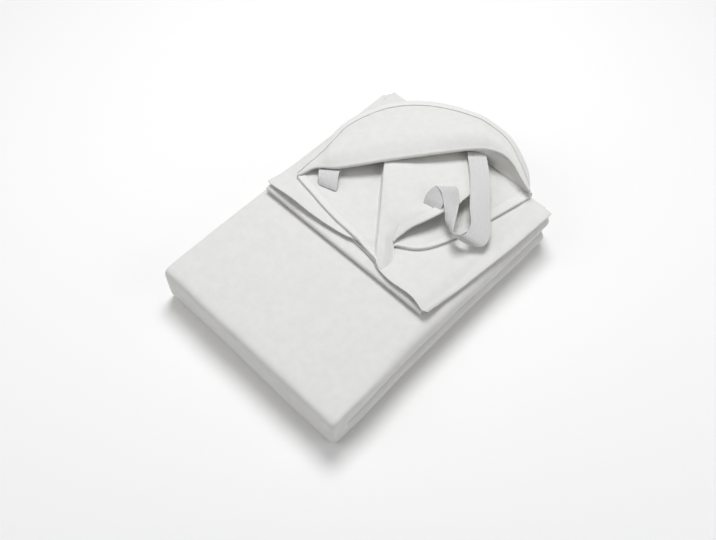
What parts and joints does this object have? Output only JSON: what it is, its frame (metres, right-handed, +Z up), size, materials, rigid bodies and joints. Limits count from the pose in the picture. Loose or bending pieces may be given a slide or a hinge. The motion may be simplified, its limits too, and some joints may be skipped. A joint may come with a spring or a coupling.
{
  "type": "folded mattress protector",
  "caption": "Cotton mattress protector folded into a flat rectangular pack, one rounded corner turned back to show taped hems and elastic corner straps.",
  "frame": {"origin": "middle of the object's base, on the surface it lies on", "axes": "+X across the pack towards the side with the two rolled folds, +Y along the pack from the closed fold to the turned-back corner, +Z up"},
  "size_m": [0.2676, 0.3994, 0.0979],
  "materials": {
    "cotton": "brushed cotton flannel, matt",
    "edge_tape": "smooth woven tape, matt",
    "elastic": "ribbed woven elastic"
  },
  "bodies": {
    "root": {"protector_cloth": "cotton", "front_edge_tape": "edge_tape", "raised_edge_tape": "edge_tape", "rim_edge_tape": "edge_tape", "corner_edge_tape": "edge_tape", "long_elastic_strap": "elastic", "short_elastic_strap": "elastic"}
  },
  "joints": []
}
